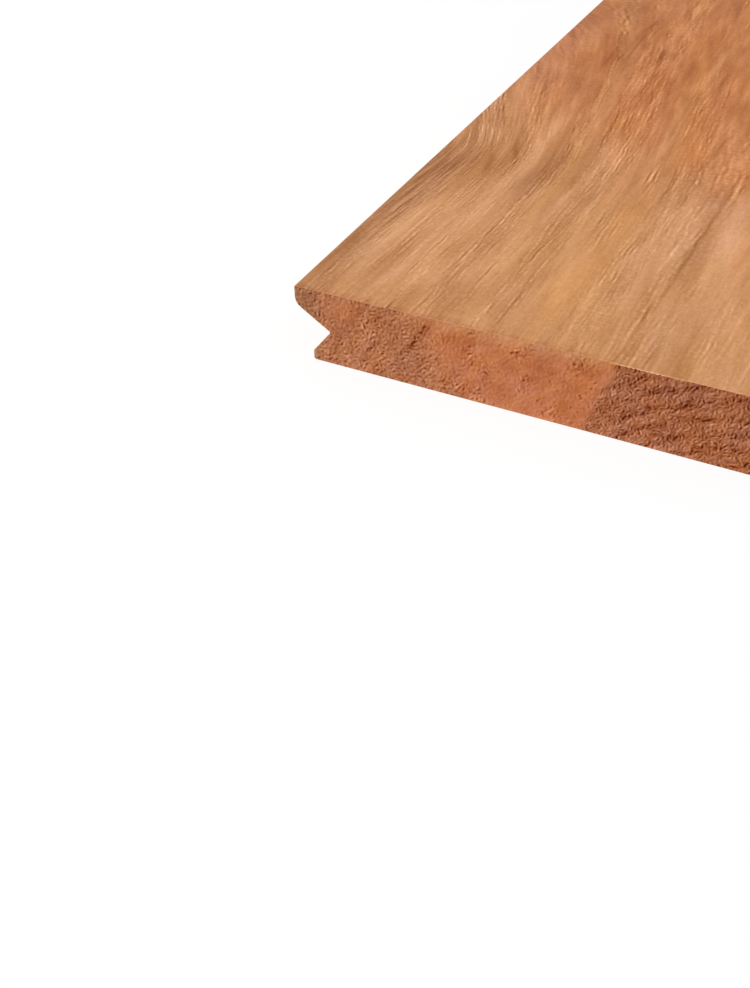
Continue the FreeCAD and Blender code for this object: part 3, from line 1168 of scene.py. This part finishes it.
# %% Lighter and darker on the end
# Ridges and pits of the torn fibres, as painted light on the ridges and painted shade in the pits, and the
# darker ground round the open pores of the smooth band
low = times_plus(tree, torn_tone_and_shade, 0.05, times_plus(tree, coarse, -0.8, maze))
pit_shade = times(tree, ramp(tree, low, -1.3, -2.6), ramp(tree, coarse, 0.3, 0.8, -46.0, -24.0))
pored = ramp(tree, times(tree, coarse, not_left, not_right), 0.4, 0.9, 0.0, -9.0)
levels = times_plus(tree, blotch, 4.0, times_plus(tree, cloud, 5.0, torn_tone_and_shade))
# The fine maze lightens the ridges and darkens the grooves between them as painted light and shade
levels = times_plus(tree, ridges, ramp(tree, right, 0.0, 1.0, 24.0, 27.0), levels)
levels = plus(tree, levels, pit_shade, pored, ramp(tree, coarse, 0.2, 1.0, 0.0, 1.5))

# Strips that follow the height: the upper half, a painted highlight along the top edge, the strip under it
# and the foot
upper_half = ramp(tree, height, 10.0, 17.0, 0.0, -3.0)
# A painted highlight along the sharp top edge on the right
painted_edge_highlight = ramp(tree, height, THICKNESS - 0.35, THICKNESS - 0.2)
painted_edge_highlight = times(tree, painted_edge_highlight, right, ramp(tree, from_left, 90.0, 106.0, 105.0, 30.0))
under_edge = times(tree, ramp(tree, height, THICKNESS - 2.6, THICKNESS - 1.2, 0.0, -6.0), right)
foot = times(tree, ramp(tree, height, 6.0, 0.0), ramp(tree, from_left, 20.0, 75.0, 0.0, 12.0))
foot = times(tree, foot, ramp(tree, from_left, 112.0, 98.0, -0.5, 1.0))
levels = plus(tree, levels, upper_half, painted_edge_highlight, under_edge, foot)

# %% Colour and bump of the sawn ends
RIDGE_HEIGHT = 0.00006

cool = times(tree, tint, 3.0)
shifted = use_group(tree, tonal_shift, {"Colour": colour, "Levels": levels, "Cool Levels": cool})
bump = add_node(tree, "Bump", {"Height": ridges, "Strength": 0.5, "Distance": RIDGE_HEIGHT})
fill_inputs(tree, shader, {
    "Base Color": shifted["Colour"],
    "Normal": bump.outputs[0],
    "Specular IOR Level": 0.15,
    "Roughness": 0.8,
})
print(f"{sawn.name}: {len(tree.nodes)} nodes")

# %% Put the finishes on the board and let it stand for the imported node
mesh.materials.append(planed)
mesh.materials.append(sawn)
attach(board, "root")
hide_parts(NODE)

# %% [markdown]
# ## The studio
#
# The floor and the room are white, and the light is soft and mostly from above, so that a colour on
# the walking face renders about as it is written. The floor stays a real floor: it keeps the board's
# soft shadow, and only the camera sees it lifted to white.

# %% Floor
WHITE = (1.0, 1.0, 1.0, 1.0)
FLOOR_GREY = (0.8, 0.8, 0.8, 1.0)
FLOOR_HALF = 12.0

floor_corners = [(x * FLOOR_HALF, y * FLOOR_HALF, 0) for x, y in ((-1, -1), (1, -1), (1, 1), (-1, 1))]
floor_mesh = bpy.data.meshes.new("floor")
floor_mesh.from_pydata(floor_corners, [], [(0, 1, 2, 3)])
floor = bpy.data.objects.new("studio_floor", floor_mesh)
bpy.context.scene.collection.objects.link(floor)
floor_finish, tree, shader = new_finish("white_floor")
fill_inputs(tree, shader, {"Base Color": FLOOR_GREY, "Roughness": 1.0, "Specular IOR Level": 0.0})
glow = add_node(tree, "Emission", {"Color": WHITE, "Strength": 1.06}).outputs[0]
lifted = times(tree, add_node(tree, "LightPath").outputs["Is Camera Ray"], 0.8)
mixed = add_node(tree, "MixShader", {0: lifted, 1: shader.outputs[0], 2: glow}).outputs[0]
fill_inputs(tree, tree.nodes["Material Output"], {"Surface": mixed})
floor_mesh.materials.append(floor_finish)
print("floor ready")

# %% Room light
ROOM_STRENGTH = 0.55

world = bpy.data.worlds.new("studio_room")
bpy.context.scene.world = world
world.use_nodes = True
tree = world.node_tree
backdrop = tree.nodes["Background"]
fill_inputs(tree, backdrop, {"Color": WHITE, "Strength": 1.0})
light = add_node(tree, "Background", {"Color": WHITE, "Strength": ROOM_STRENGTH}).outputs[0]
seen = add_node(tree, "LightPath").outputs["Is Camera Ray"]
mixed = add_node(tree, "MixShader", {0: seen, 1: light, 2: backdrop.outputs[0]}).outputs[0]
fill_inputs(tree, tree.nodes["World Output"], {"Surface": mixed})

# %% Lamp
LAMP_PLACE = (-1.2, -2.7, 2.3)
LAMP_AIM = (0.0, -0.8, 0.0)

lamp_data = bpy.data.lights.new("key_lamp", "AREA")
lamp_data.energy = 62
lamp_data.size = 1.2
lamp = bpy.data.objects.new("key_lamp", lamp_data)
lamp.location = LAMP_PLACE
back_x, back_y, back_z = unit(np.array(LAMP_PLACE) - np.array(LAMP_AIM))
lamp.rotation_euler = (math.acos(back_z), 0, math.atan2(back_y, back_x) + math.pi / 2)
bpy.context.scene.collection.objects.link(lamp)
print("light ready")

# %% [markdown]
# ## The camera
#
# The photograph looks down on one corner of the board from the right. The camera's place, turn and
# lens come from the corner's own edges: the section's height is known, and the two sets of long
# parallel edges fix the directions.

# %% Camera
CAMERA_PLACE = (117.5 - HALF_WIDTH, FRONT_Y - 198.6, 148.5)
CAMERA_TURN = 25.41
CAMERA_DROP = 40.84
LENS = 36.33

camera_data = bpy.data.cameras.new("photo_camera")
camera_data.lens = LENS
camera_data.sensor_width = 36.0
camera_data.clip_start = 0.01
camera = bpy.data.objects.new("photo_camera", camera_data)
camera.location = [value * MM for value in CAMERA_PLACE]
camera.rotation_euler = (math.radians(90 - CAMERA_DROP), 0, math.radians(CAMERA_TURN))
bpy.context.scene.collection.objects.link(camera)
bpy.context.scene.camera = camera
bpy.context.scene.view_settings.view_transform = "Standard"
print("camera ready")

# %% Update the scene
bpy.context.view_layer.update()
